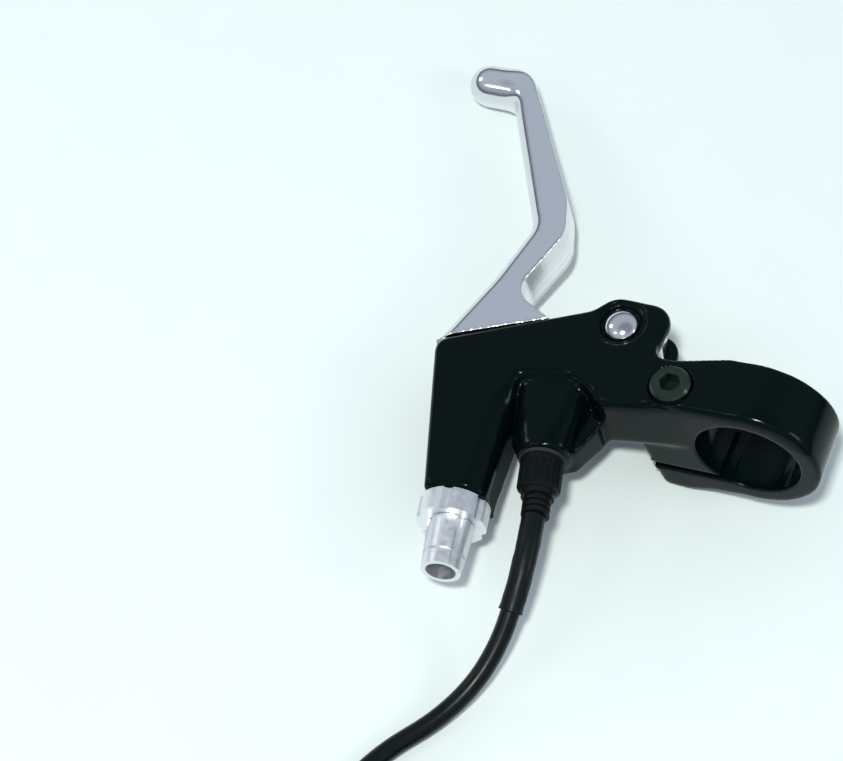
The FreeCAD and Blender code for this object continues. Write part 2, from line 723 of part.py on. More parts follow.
def switch_parts():
    """The switch, with Z out of the casting from the end of its boss; the plunger points to -Z."""
    inside = -size("switch_depth")
    outer, cavity, guide = size("switch_radius") - 0.02, size("plunger_bore"), size("plunger_radius") + 0.08
    cavity_top = inside + 8.0
    turned("switch_housing", [
        (guide, inside + 0.02), (outer, inside + 0.02), (outer, -3.2), (0.0, -3.2),
        (0.0, cavity_top), (cavity, cavity_top), (cavity, inside + 1.2), (guide, inside + 1.2),
    ], SWITCH_POSE)
    flange = inside + 1.2 + size("plunger_stroke") + 0.3
    tip = inside - size("plunger_reach")
    turned("switch_plunger", [
        (0.0, tip), (size("plunger_radius"), tip), (size("plunger_radius"), flange),
        (size("plunger_flange"), flange), (size("plunger_flange"), flange + 0.8), (0.0, flange + 0.8),
    ], SWITCH_POSE)
    wire, room = SIZES["plunger_spring_wire"], (cavity_top - flange - 0.8).number
    turns = 4.0
    pitch = (room - wire - 0.1) / turns
    coil = helix_spring(SIZES["plunger_spring_radius"], wire, pitch, turns)
    start = (flange + 0.8).number + wire / 2 + 0.05
    shaped("plunger_spring", coil, SWITCH_POSE.multiply(lifted(start)))

    # two solder posts on the switch's rear face, inside the gland nut's nose
    posts = []
    for side in (-1, 1):
        posts.append(Part.makeCylinder(SIZES["terminal_radius"], 1.6, Vector(side * 1.2, 0, -3.2)))
    shaped("switch_terminals", Part.makeCompound(posts), SWITCH_POSE)

    nose, lead = size("switch_radius") - 0.02, size("lead_radius")
    seal = size("seal_radius")
    turned("switch_seal", [
        (nose, 0.0), (seal + size("seal_wire"), 0.0), (seal + size("seal_wire"), size("seal_wire")),
        (nose, size("seal_wire")),
    ], SWITCH_POSE)
    first, last = size("seal_wire"), size("seal_wire") + size("gland_length")
    gland = turned("gland_nut", [
        (lead, -1.4), (nose, -1.4), (nose, first), (size("gland_radius"), first),
        (size("gland_radius"), last - 0.8), (size("gland_radius") - 0.8, last), (lead, last),
    ], SWITCH_POSE)
    notch = sketch_on(gland, "grip_groove", offset=lifted(last))
    add_circle(notch, (size("gland_radius") + 0.15, 0), 0.42)
    ring_of(gland, cut(gland, notch, size("gland_length") - 1.4), 20)

    # moulded strain relief: a collar, then three ribs with thinner waists between them
    collar, rib = size("relief_collar"), size("relief_radius")
    profile = [(lead, last), (collar, last), (collar, last + 1.3)]
    level = last + 1.3
    for _ in range(3):
        profile += [(rib - 0.5, level), (rib - 0.5, level + 0.55), (rib, level + 0.55), (rib, level + 1.35)]
        level = level + 1.35
    profile += [(rib - 0.3, level), (lead, level)]
    turned("strain_relief", profile, SWITCH_POSE)
    return level.number


# ---------------------------------------------------------------- lead

# Hand-laid route of the lead, as it lies: out of the gland, down to the table and into the coil.
LEAD_ROUTE = [
    (-38.35, -21.4, -4.8),
    (-36.2, -31.2, -4.1),
    (-34.3, -41.2, -4.6),
    (-33.3, -50.2, -8.4),
    (-33.9, -58.4, -12.9),
    (-36.7, -66.8, -16.9),
    (-41.2, -75.4, -19.4),
    (-46.2, -84.6, -20.0),
    (-50.6, -94.2, -20.0),
    (-53.6, -104.2, -20.0),
    (-54.8, -114.5, -20.0),
]
# the other end of the lead, off the top of the coil and into the plug
TAIL_ROUTE = [
    (-13.2, -144.0, -16.6),
    (-3.2, -141.2, -18.6),
    (5.4, -135.1, -19.3),
]
COIL_CENTRE = (-25.9, -117.9)
PLUG_POSE = Placement(Vector(5.4, -135.1, SIZES["table_level"]), Rotation(Vector(0, 0, 1), 41))


def lead_parts(relief_end):
    still = Placement()
    edges = rounded_path(LEAD_ROUTE)
    tail = rounded_path(TAIL_ROUTE)
    radii = [edge.Curve.Radius for edge in edges + tail if isinstance(edge.Curve, Part.Circle)]
    print("lead's bend radii", [round(radius, 1) for radius in radii])
    if min(radii) < 10 * SIZES["lead_radius"]:
        raise RuntimeError("the lead bends too tightly")
    shaped("cable_tail", tube(tail, SIZES["lead_radius"]), still, rolled=False)
    exit_point = ROLL.multiply(SWITCH_POSE).multVec(Vector(0, 0, relief_end))
    start = (exit_point - Vector(*LEAD_ROUTE[0])).Length
    shaped("switch_cable", tube(edges, SIZES["lead_radius"]), still, rolled=False)
    sleeve = tube(trimmed(edges, start, start + SIZES["sleeve_length"]), SIZES["sleeve_radius"],
                  SIZES["lead_radius"])
    shaped("heat_shrink_sleeve", sleeve, still, rolled=False)
    print("lead's tube length", round(sum(edge.Length for edge in edges), 1), "exit", exit_point)

    coil_radius, width, height = SIZES["coil_radius"], SIZES["coil_width"], SIZES["coil_height"]
    centre = Vector(*COIL_CENTRE, SIZES["table_level"])
    coil = Part.makeCylinder(coil_radius + width / 2, height, centre)
    coil = coil.cut(Part.makeCylinder(coil_radius - width / 2, height, centre))
    coil = coil.makeFillet(3.0, [edge for edge in coil.Edges if isinstance(edge.Curve, Part.Circle)])
    shaped("cable_coil", coil, still, rolled=False)

    # hook-and-loop tie round one side of the coil
    band, thick = SIZES["tie_width"], SIZES["tie_thickness"]
    around = Part.makeBox(band, width + 2 * thick, height + thick,
                          centre + Vector(-band / 2, -coil_radius - width / 2 - thick, 0))
    around = around.makeFillet(2.0, [edge for edge in around.Edges
                                     if edge.BoundBox.ZMin > centre.z + 1 and edge.BoundBox.YLength < 1e-6])
    hollow = Part.makeBox(band + 2, width, height,
                          centre + Vector(-band / 2 - 1, -coil_radius - width / 2, 0))
    shaped("coil_tie", around.cut(hollow).cut(coil), still, rolled=False)

    plug_length, plug_width, plug_height = SIZES["plug_length"], SIZES["plug_width"], SIZES["plug_height"]
    shell = Part.makeBox(plug_length, plug_width, plug_height, Vector(0, -plug_width / 2, 0))
    mouth = Part.makeBox(8.0, plug_width - 1.8, plug_height - 1.8,
                         Vector(plug_length - 8.0, -plug_width / 2 + 0.9, 0.9))
    latch = Part.makeBox(6.0, 2.4, 1.0, Vector(6.0, -1.2, plug_height))
    shaped("connector_housing", shell.cut(mouth).fuse(latch).removeSplitter(), PLUG_POSE, rolled=False)
    contacts = []
    for side in (-1, 1):
        base = Vector(plug_length - 8.0, side * SIZES["contact_pitch"] / 2, plug_height / 2)
        contacts.append(Part.makeCylinder(SIZES["contact_radius"], 6.0, base, Vector(1, 0, 0)))
    shaped("connector_pins", Part.makeCompound(contacts), PLUG_POSE, rolled=False)


# ---------------------------------------------------------------- build, check, write

lever_bracket()
brake_blade()
pivot_parts()
clamp_bolt()
adjuster_parts()
relief_finish = switch_parts()
lead_parts(relief_finish)
doc.recompute()

for item in doc.Objects:
    if "Invalid" in item.State or "Error" in item.State:
        raise RuntimeError(f"{item.Label} failed: {item.State}")
os.makedirs("parts", exist_ok=True)
for piece in pieces:
    shape = piece.Shape
    if shape.isNull() or not shape.isValid() or not shape.Solids:
        raise RuntimeError(f"{piece.Label} has no valid solid")
    shape.exportStep(f"parts/{piece.Label}.step")
    print(piece.Label, "volume", round(shape.Volume, 1), "solids", len(shape.Solids))
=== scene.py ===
"""The looks of a bicycle brake lever with a motor cut-off switch and its lead."""

import json
import math

import bmesh
import bpy
from mathutils import Matrix, Vector, noise


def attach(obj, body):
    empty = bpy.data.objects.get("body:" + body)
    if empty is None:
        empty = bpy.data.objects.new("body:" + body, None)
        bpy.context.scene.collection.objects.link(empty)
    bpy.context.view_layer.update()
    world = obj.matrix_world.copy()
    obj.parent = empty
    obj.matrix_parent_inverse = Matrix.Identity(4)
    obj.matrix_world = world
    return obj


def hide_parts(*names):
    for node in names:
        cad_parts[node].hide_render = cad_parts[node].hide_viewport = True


MM = 0.001
TABLE = -22.0 * MM

# The lever is drawn lying flat and then rolled about the handlebar's axis, as it rests on a table.
ROLL_ANGLE = math.radians(17.5)
ROLL = Matrix.Rotation(-ROLL_ANGLE, 4, "Y")

# places on the lever as it is drawn, in millimetres, with the handlebar's axis along Y through 0
PIVOT = (-30.9, 10.5)
BOLT = (-15.8, -1.9)
SLIT_LEVEL = -9.6

# the lead's route, in millimetres, from inside the gland to the coil, and off the coil to the plug
LEAD_ROUTE = [
    (-38.35, -21.4, -4.8),
    (-36.2, -31.2, -4.1),
    (-34.3, -41.2, -4.6),
    (-33.3, -50.2, -8.4),
    (-33.1, -58.2, -12.9),
    (-34.9, -66.6, -16.9),
    (-39.4, -75.6, -19.4),
    (-46.2, -84.6, -20.0),
    (-50.6, -94.2, -20.0),
    (-53.6, -104.2, -20.0),
    (-54.8, -114.5, -20.0),
]
TAIL_ROUTE = [
    (-13.2, -144.0, -16.6),
    (-3.2, -141.2, -18.6),
    (5.4, -135.1, -19.3),
]
LEAD_DIAMETER = 4.0
COIL_CENTRE = (-25.9, -117.9)
COIL_RADIUS = 23.0
COIL_COLUMNS = 4
COIL_PITCH = LEAD_DIAMETER + 0.1
POINTS_PER_TURN = 24

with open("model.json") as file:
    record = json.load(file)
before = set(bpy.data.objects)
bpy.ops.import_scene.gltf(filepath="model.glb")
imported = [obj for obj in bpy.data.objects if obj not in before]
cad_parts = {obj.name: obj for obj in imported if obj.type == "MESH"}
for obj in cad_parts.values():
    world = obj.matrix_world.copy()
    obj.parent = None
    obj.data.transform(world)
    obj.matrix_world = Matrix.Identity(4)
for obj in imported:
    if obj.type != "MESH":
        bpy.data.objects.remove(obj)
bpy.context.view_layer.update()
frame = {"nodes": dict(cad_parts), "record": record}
nodes = frame["nodes"]


# ---------------------------------------------------------------- materials

def set_stops(shades, stops):
    """A colour ramp node gets these stops: (position, red, green, blue), in rising order."""
    elements = shades.color_ramp.elements
    elements.remove(elements[1])
    for index, (position, red, green, blue) in enumerate(stops):
        stop = elements.new(position) if index else elements[0]
        stop.position = position
        stop.color = (red, green, blue, 1.0)


def banded(tree, place, color, bands):
    """The colour, darkened in bands of painted shade by the height in the lever. bands is a list of (level,
    share of the colour).

    A level is a height in the lever as it is drawn, in millimetres.
    """
    drawn = tree.nodes.new("ShaderNodeVectorRotate")
    drawn.rotation_type = "Y_AXIS"
    drawn.inputs["Angle"].default_value = ROLL_ANGLE
    split = tree.nodes.new("ShaderNodeSeparateXYZ")
    scale = tree.nodes.new("ShaderNodeMapRange")
    scale.inputs["From Max"].default_value = BAND_TOP * MM
    shades = tree.nodes.new("ShaderNodeValToRGB")
    set_stops(shades, [(level / BAND_TOP, share, share, share) for level, share in bands])
    # the bands multiply the colour, as painted shade
    painted_shade = tree.nodes.new("ShaderNodeMix")
    painted_shade.data_type = "RGBA"
    painted_shade.blend_type = "MULTIPLY"
    painted_shade.inputs["Factor"].default_value = 1.0
    tree.links.new(place, drawn.inputs["Vector"])
    tree.links.new(drawn.outputs["Vector"], split.inputs["Vector"])
    tree.links.new(split.outputs["Z"], scale.inputs["Value"])
    tree.links.new(scale.outputs["Result"], shades.inputs["Fac"])
    tree.links.new(color, painted_shade.inputs["A"])
    tree.links.new(shades.outputs["Color"], painted_shade.inputs["B"])
    return painted_shade.outputs["Result"]


def material(name, color, rough, metallic=0.0, rough_spread=0.06, color_spread=0.08, grain=700.0,
             bump=0.02, sheen=0.0, weave=0.0, specular=0.5, bands=()):
    """A surface whose colour, gloss and height vary with a fine grain. bump is in millimetres."""
    made = bpy.data.materials.new(name)
    made.use_nodes = True
    tree = made.node_tree
    shader = tree.nodes["Principled BSDF"]
    shader.inputs["Metallic"].default_value = metallic
    shader.inputs["Specular IOR Level"].default_value = specular
    shader.inputs["Sheen Weight"].default_value = sheen
    place = tree.nodes.new("ShaderNodeTexCoord")
    grains = tree.nodes.new("ShaderNodeTexNoise")
    grains.inputs["Scale"].default_value = grain
    grains.inputs["Detail"].default_value = 5.0
    tree.links.new(place.outputs["Object"], grains.inputs["Vector"])
    height = grains.outputs["Fac"]
    if weave:
        threads = tree.nodes.new("ShaderNodeTexWave")
        threads.inputs["Scale"].default_value = weave
        threads.inputs["Distortion"].default_value = 1.5
        tree.links.new(place.outputs["Object"], threads.inputs["Vector"])
        both = tree.nodes.new("ShaderNodeMath")
        both.operation = "ADD"
        tree.links.new(grains.outputs["Fac"], both.inputs[0])
        tree.links.new(threads.outputs["Fac"], both.inputs[1])
        height = both.outputs[0]
    gloss = tree.nodes.new("ShaderNodeMapRange")
    gloss.inputs["From Min"].default_value = 0.3
    gloss.inputs["From Max"].default_value = 0.7
    gloss.inputs["To Min"].default_value = max(0.02, rough - rough_spread)
    gloss.inputs["To Max"].default_value = rough + rough_spread
    tree.links.new(grains.outputs["Fac"], gloss.inputs["Value"])
    tree.links.new(gloss.outputs["Result"], shader.inputs["Roughness"])
    tint = tree.nodes.new("ShaderNodeMix")
    tint.data_type = "RGBA"
    tint.inputs["A"].default_value = tuple(c * (1 - color_spread) for c in color) + (1.0,)
    tint.inputs["B"].default_value = tuple(min(1.0, c * (1 + color_spread)) for c in color) + (1.0,)
    tree.links.new(grains.outputs["Fac"], tint.inputs["Factor"])
    shown = tint.outputs["Result"]
    # painted shade in bands by height, for the materials that are given bands
    if bands:
        shown = banded(tree, place.outputs["Object"], shown, bands)
    tree.links.new(shown, shader.inputs["Base Color"])
    relief = tree.nodes.new("ShaderNodeBump")
    relief.inputs["Distance"].default_value = bump * MM
    tree.links.new(height, relief.inputs["Height"])
    tree.links.new(relief.outputs["Normal"], shader.inputs["Normal"])
    return made


# the blade's sides are painted darker in bands by height: painted shade near the underside, where the
# shadowed floor under the blade is reflected, a little darker higher up, and two thin darker lines along
# them
BAND_TOP = 14.0
BLADE_SHADE_BANDS = [(0.0, 0.55), (2.4, 0.62), (3.6, 0.93), (4.5, 0.95), (4.7, 0.70), (4.9, 0.95),
               (6.6, 0.95), (6.8, 0.72), (7.0, 0.93), (9.0, 0.82), (11.6, 0.82), (12.3, 1.0)]

MATERIALS = {
    "black_casting": material(
        "black_enamel", (0.0004, 0.0042, 0.0038), 0.14, rough_spread=0.03, grain=900.0, bump=0.006,
        specular=0.11),
    # the blade's colour carries painted shade in bands by height
    "polished_blade": material(
        "polished_aluminium", (0.90, 0.90, 0.93), 0.14, metallic=1.0, grain=900.0, rough_spread=0.03,
        color_spread=0.01, bump=0.004, bands=BLADE_SHADE_BANDS),
    "polished_pin": material(
        "polished_steel", (0.80, 0.80, 0.82), 0.13, metallic=1.0, grain=500.0, rough_spread=0.04,
        color_spread=0.03, bump=0.01),
    "zinc_steel": material("zinc_plate", (0.62, 0.63, 0.65), 0.32, metallic=1.0, grain=600.0),
    "bronze": material("plain_bronze", (0.62, 0.42, 0.20), 0.30, metallic=1.0),
    "nylon": material("natural_nylon", (0.70, 0.69, 0.66), 0.45),
    "spring_steel": material("drawn_wire", (0.45, 0.45, 0.46), 0.28, metallic=1.0, grain=900.0),
    "black_oxide": material(
        "oiled_black_oxide", (0.030, 0.050, 0.040), 0.24, metallic=0.75, grain=800.0, rough_spread=0.10,
        color_spread=0.25, bump=0.02),
    "turned_aluminium": material(
        "turned_aluminium", (0.84, 0.85, 0.88), 0.42, metallic=1.0, grain=900.0, rough_spread=0.08,
        color_spread=0.03, bump=0.006),
    "black_plastic": material(
        "satin_black_plastic", (0.0050, 0.0080, 0.0080), 0.40, grain=1100.0, bump=0.01, specular=0.09),
    "soft_black_plastic": material(
        "soft_black_plastic", (0.0055, 0.0075, 0.0078), 0.42, grain=1100.0, bump=0.01, specular=0.15),
    "seal_rubber": material("seal_rubber", (0.020, 0.020, 0.020), 0.60, grain=900.0),
    "sleeve_plastic": material(
        "shrunk_sleeve", (0.004, 0.0075, 0.0072), 0.38, grain=500.0, bump=0.03, specular=0.15),
    "lead_pvc": material(
        "lead_jacket", (0.003, 0.0055, 0.0055), 0.32, grain=500.0, bump=0.015, specular=0.2),
    "tie_fabric": material(
        "woven_tie", (0.020, 0.020, 0.022), 0.80, grain=1500.0, sheen=0.4, weave=900.0, bump=0.10),
    "connector_plastic": material("connector_nylon", (0.020, 0.020, 0.020), 0.45, grain=900.0),
}


# ---------------------------------------------------------------- helpers

def linked(name, mesh):
    piece = bpy.data.objects.new(name, mesh)
    bpy.context.scene.collection.objects.link(piece)
    return piece


def paint(piece, slot):
    piece.data.materials.clear()
    piece.data.materials.append(MATERIALS[slot])


def baked(piece):
    """The piece's modifiers become its mesh."""
    graph = bpy.context.evaluated_depsgraph_get()
    mesh = bpy.data.meshes.new_from_object(piece.evaluated_get(graph))
    piece.modifiers.clear()
    piece.data = mesh


def finished(shape, name):
    """The bmesh becomes a mesh of this name."""
    mesh = bpy.data.meshes.new(name)
    shape.to_mesh(mesh)
    shape.free()
    return mesh


def join_rings(shape, rings):
    """Walls of four-sided faces, from each closed ring of points to the next."""
    for first, second in zip(rings, rings[1:]):
        for spoke in range(len(first)):
            after = (spoke + 1) % len(first)
            shape.faces.new((first[spoke], first[after], second[after], second[spoke]))


def shade_smooth(piece):
    for face in piece.data.polygons:
        face.use_smooth = True


def recast(node, name, voxel, slot, body, rounds, extra=(), reshape=None):
    """A copy of a CAD node in small even faces, with its corners rounded over as a casting's are.

    rounds is a list of (passes, how strongly to smooth a point of the lever as it is drawn, 0 to 1).
    extra holds closed meshes that are joined to it, and reshape moves a point of it first.
    """
    piece = linked(name, nodes[node].data.copy())
    for other in extra:
        mesh = bmesh.new()
        mesh.from_mesh(piece.data)
        mesh.from_mesh(other)
        mesh.to_mesh(piece.data)
        mesh.free()
    cells = piece.modifiers.new("cells", "REMESH")
    cells.mode = "VOXEL"
    cells.voxel_size = voxel * MM
    baked(piece)
    drawn = ROLL.inverted()
    if reshape:
        for vertex in piece.data.vertices:
            vertex.co = ROLL @ (Vector(reshape(*(drawn @ vertex.co) / MM)) * MM)
    for passes, strength in rounds:
        group = piece.vertex_groups.new(name="soft")
        for vertex in piece.data.vertices:
            x, y, z = (drawn @ vertex.co) / MM
            weight = strength(x, y, z)
            if weight > 0.0:
                group.add([vertex.index], min(1.0, weight), "REPLACE")
        soften = piece.modifiers.new("soften", "SMOOTH")
        soften.factor = 0.5
        soften.iterations = passes
        soften.vertex_group = group.name
        baked(piece)
        piece.vertex_groups.clear()
    shade_smooth(piece)
    paint(piece, slot)
    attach(piece, body)
    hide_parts(node)


def line_through(points):
    """A smooth open curve with these control points, in millimetres."""
    curve = bpy.data.curves.new("route", "CURVE")
    curve.dimensions = "3D"
    spline = curve.splines.new("NURBS")
    spline.points.add(len(points) - 1)
    for point, place in zip(spline.points, points):
        point.co = (place[0] * MM, place[1] * MM, place[2] * MM, 1.0)
    spline.order_u = 3
    spline.use_endpoint_u = True
    spline.resolution_u = 6
    return curve


# ---------------------------------------------------------------- camera

def place_camera():
    """A long lens above and in front of the lever, looking down at it."""
    data = bpy.data.cameras.new("camera")
    data.lens = 136.65
    data.sensor_width = 36.0
    data.clip_start = 0.01
    data.clip_end = 20.0
    camera = bpy.data.objects.new("camera", data)
    bpy.context.scene.collection.objects.link(camera)
    right = Vector((0.9319, 0.3549, 0.0750)).normalized()
    up = Vector((-0.3472, 0.8129, 0.4675))
    up = (up - right * up.dot(right)).normalized()
    back = right.cross(up)
    turn = Matrix((right, up, back)).transposed().to_4x4()
    camera.matrix_world = Matrix.Translation((0.92 * MM, -313.6 * MM, 568.4 * MM)) @ turn
    bpy.context.scene.camera = camera


place_camera()


# ---------------------------------------------------------------- lead

def coil_points():
    """Turns side by side in two layers: inwards along the table, up, and outwards on top."""
    outer = COIL_RADIUS + (COIL_COLUMNS - 1) / 2 * COIL_PITCH
    inner = outer - (COIL_COLUMNS - 1) * COIL_PITCH
    lower = TABLE / MM + LEAD_DIAMETER / 2
    start, top_start, finish = 173.0, 300.0, 284.0

    def place(angle, radius, level):
        angle = math.radians(angle)
        return (COIL_CENTRE[0] + radius * math.cos(angle), COIL_CENTRE[1] + radius * math.sin(angle), level)

    def step(part):
        """0 for most of a turn, then a smooth move to 1 over its last sixth."""
        late = max(0.0, (part - 5 / 6) * 6)
        return late * late * (3 - 2 * late)

    points = []
    bottom_turns = COIL_COLUMNS - 1 + (top_start - start) / 360
    count = round(bottom_turns * POINTS_PER_TURN)
    for index in range(1, count + 1):
        turns = bottom_turns * index / count
        whole = min(int(turns), COIL_COLUMNS - 1)
        inward = whole + (step(turns - whole) if whole < COIL_COLUMNS - 1 else 0.0)
        rise = max(0.0, 1 - (bottom_turns - turns) * 6)
        points.append(place(start + 360 * turns, outer - inward * COIL_PITCH,
                            lower + COIL_PITCH * rise * rise * (3 - 2 * rise)))
    top_turns = COIL_COLUMNS - (top_start - finish) / 360
    count = round(top_turns * POINTS_PER_TURN)
    for index in range(1, count + 1):
        turns = top_turns * index / count
        whole = min(int(turns), COIL_COLUMNS - 1)
        outward = whole + (step(turns - whole) if whole < COIL_COLUMNS - 1 else 0.0)
        points.append(place(top_start + 360 * turns, inner + outward * COIL_PITCH, lower + COIL_PITCH))
    return points


def spline_points(curve):
    """Points along a curve, in metres, as Blender draws it."""
    sample = linked("sample", curve.copy())
    mesh = bpy.data.meshes.new_from_object(sample)
    points = [vertex.co.copy() for vertex in mesh.vertices]
    bpy.data.objects.remove(sample)
    return points


def part_of_line(points, start, finish, step):
    """Evenly spaced points of a line between two distances along it, all in metres."""
    found = []
    wanted = start
    travelled = 0.0
    for here, there in zip(points, points[1:]):
        span = (there - here).length
        while wanted <= min(finish, travelled + span) and span > 0:
            found.append(here.lerp(there, (wanted - travelled) / span))
            wanted += step
        travelled += span
    return found


def skin(name, line, radius_at, sides=28):
    """A closed tube whose radius, in metres, is radius_at(how far along, angle)."""
    mesh = bmesh.new()
    rings = []
    across = Vector((0, 0, 1))
    for index, centre in enumerate(line):
        ahead = (line[min(index + 1, len(line) - 1)] - line[max(index - 1, 0)]).normalized()
        side = ahead.cross(across).normalized()
        over = side.cross(ahead)
        part = index / (len(line) - 1)
        ring = []
        for spoke in range(sides):
            angle = 2 * math.pi * spoke / sides
            out = side * math.cos(angle) + over * math.sin(angle)
            ring.append(mesh.verts.new(centre + out * radius_at(part, angle)))
        rings.append(ring)
    join_rings(mesh, rings)
    mesh.faces.new(list(reversed(rings[0])))
    mesh.faces.new(rings[-1])
    piece = linked(name, finished(mesh, name))
    shade_smooth(piece)
    return piece


def make_lead():
    curve = line_through(LEAD_ROUTE + coil_points() + TAIL_ROUTE)
    line = spline_points(curve)
    curve.bevel_depth = LEAD_DIAMETER / 2 * MM
    curve.bevel_resolution = 6
    curve.use_fill_caps = True
    lead = linked("lead", curve)
    paint(lead, "lead_pvc")
    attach(lead, "bracket")
    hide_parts("switch_cable", "cable_coil", "cable_tail")

    start, length, step = 12.2 * MM, 20.2 * MM, 0.35 * MM
    radius, wrinkle = 2.42 * MM, 0.10 * MM

    def wrinkled(part, angle):
        end = min(part, 1 - part)
        lip = wrinkle * math.exp(-(end / 0.03) ** 2)
        place = Vector((math.cos(angle), math.sin(angle), part * 6))
        return radius + lip + wrinkle * noise.noise(place * 1.4)

    sleeve = skin("shrunk_sleeve", part_of_line(line, start, start + length, step), wrinkled)
    paint(sleeve, "sleeve_plastic")
    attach(sleeve, "bracket")
    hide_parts("heat_shrink_sleeve")
    return lead, sleeve


def make_tie():
    """A hook-and-loop band round one side of the coil, with its end lapped over on top."""
    half = COIL_COLUMNS * COIL_PITCH / 2 + 0.45
    high = 2 * COIL_PITCH - 0.2
    corner, band, thick = 2.0, 5.0, 0.7
    tab_start, tab_end = -5.2, 4.8
    above_table = 0.72
    middle = Vector((COIL_CENTRE[0], COIL_CENTRE[1] - COIL_RADIUS, TABLE / MM + above_table))
    outline = []
    for centre_y, centre_z, first in ((half - corner, high - corner, 0), (corner - half, high - corner, 90),
                                      (corner - half, corner, 180), (half - corner, corner, 270)):
        for piece_angle in range(0, 91, 15):
            angle = math.radians(first + piece_angle)
            outline.append((centre_y + corner * math.cos(angle), centre_z + corner * math.sin(angle)))
    mesh = bmesh.new()
    rings = []
    for side in (-band / 2, band / 2):
        for grow in (0.0, thick):
            ring = []
            for along, over in outline:
                centre_z = min(max(over, corner), high - corner)
                centre_y = min(max(along, corner - half), half - corner)
                out = Vector((0, along - centre_y, over - centre_z)).normalized() * grow
                ring.append(mesh.verts.new((middle + Vector((side, along, over)) + out) * MM))
            rings.append(ring)
    near_inner, near_outer, far_inner, far_outer = rings
    join_rings(mesh, [near_inner, near_outer, far_outer, far_inner, near_inner])
    tab = [(tab_start, 0.0), (tab_end, 0.0), (tab_end, thick), (tab_start, thick)]
    lower = [mesh.verts.new((middle + Vector((-band / 2, y, high + thick + z))) * MM) for y, z in tab]
    upper = [mesh.verts.new((middle + Vector((band / 2, y, high + thick + z))) * MM) for y, z in tab]
    mesh.faces.new(lower)
    mesh.faces.new(list(reversed(upper)))
    for index in range(4):
        after = (index + 1) % 4
        mesh.faces.new((lower[after], lower[index], upper[index], upper[after]))
    bmesh.ops.recalc_face_normals(mesh, faces=mesh.faces)
    tie = linked("hook_and_loop_tie", finished(mesh, "hook_and_loop_tie"))
    edge = tie.modifiers.new("edge", "BEVEL")
    edge.width = 0.2 * MM
    edge.segments = 2
    paint(tie, "tie_fabric")
    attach(tie, "bracket")
    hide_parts("coil_tie")
    return tie


lead, sleeve = make_lead()
tie = make_tie()


# ---------------------------------------------------------------- castings and machined pieces

def ramp(value, low, high):
    """0 below low, 1 above high, smooth between."""
    part = min(1.0, max(0.0, (value - low) / (high - low)))
    return part * part * (3 - 2 * part)


def near_machining(x, y, z):
    """1 at the bored and milled faces of the casting, which stay crisp, 0 well away from them."""
    bar = 1 - ramp(math.hypot(x, z), 12.2, 13.4)
    bolt = (1 - ramp(math.hypot(x - BOLT[0], y - BOLT[1]), 5.0, 6.2)) * ramp(z, 8.0, 10.0)
    pin = (1 - ramp(math.hypot(x - PIVOT[0], y - PIVOT[1]), 6.0, 7.0)) * ramp(z, 9.5, 11.0)
    slit = (1 - ramp(abs(z - SLIT_LEVEL), 1.4, 2.4)) * ramp(-x, 2.0, 4.0)
    return max(bar, bolt, pin, slit)


def all_over(x, y, z):
    return 1.0


def cast_edges(x, y, z):
    """The broad roundings that a casting's own edges have."""
    return 1.0 - near_machining(x, y, z)


def cast_hollows(x, y, z):
    """The switch boss and the front of the arm, which flow into the plate."""
    boss = ramp(-y, 3.0, 6.0) * ramp(-x, 26.0, 30.0) * (1 - ramp(-x, 49.0, 51.0)) * ramp(y, -21.5, -20.0)
    front = ramp(-y, 4.0, 5.5) * ramp(x, -32.0, -29.0)
    return max(boss, front) * (1.0 - near_machining(x, y, z))


def broad_edges(x, y, z):
    """The arm's front edge and the inner side of the adjuster's boss, which are rounded most."""
    front = ramp(-y, 3.0, 5.0) * ramp(x, -31.0, -28.0) * ramp(z, 6.0, 9.0)
    along = ramp(-y, 11.0, 15.0) * ramp(y, -33.5, -32.0)
    side = ramp(x, -49.5, -47.5) * (1 - ramp(x, -43.8, -42.8)) * along
    return max(front, side) * (1.0 - near_machining(x, y, z))


def rounded_boss(x, y, z):
    """The adjuster's boss falls away in a curve towards its inner side."""
    reach, steepness, lean = 5.0, 0.10, 0.0985
    edge = -47.4 + (-6.4 - y) * lean
    inward = max(0.0, reach - max(0.0, edge - x))
    fall = steepness * inward * inward * ramp(-y, 8.5, 14.0) * (1 - ramp(x, edge + 0.3, edge + 1.3))
    return x, y, z - fall * ramp(z, 3.0, 11.0)


def knob(x, y, z):
    """The blade's bend and its knob, which are rounded most."""
    return ramp(-x, 66.0, 74.0) * ramp(y, 58.0, 63.0)


def ball_end(x, y, z):
    """The knob's nose is drawn in to a short round bar with a ball at its end."""
    tip, neck, middle, level, radius = -82.2, -75.0, 67.3, 8.1, 4.6
    centre = Vector((max(tip, min(x, neck)), middle, level))
    point = Vector((x, y, z))
    ball = centre + (point - centre).normalized() * radius
    return point.lerp(ball, ramp(-x, 73.0, 79.0) * ramp(y, 58.0, 61.0))


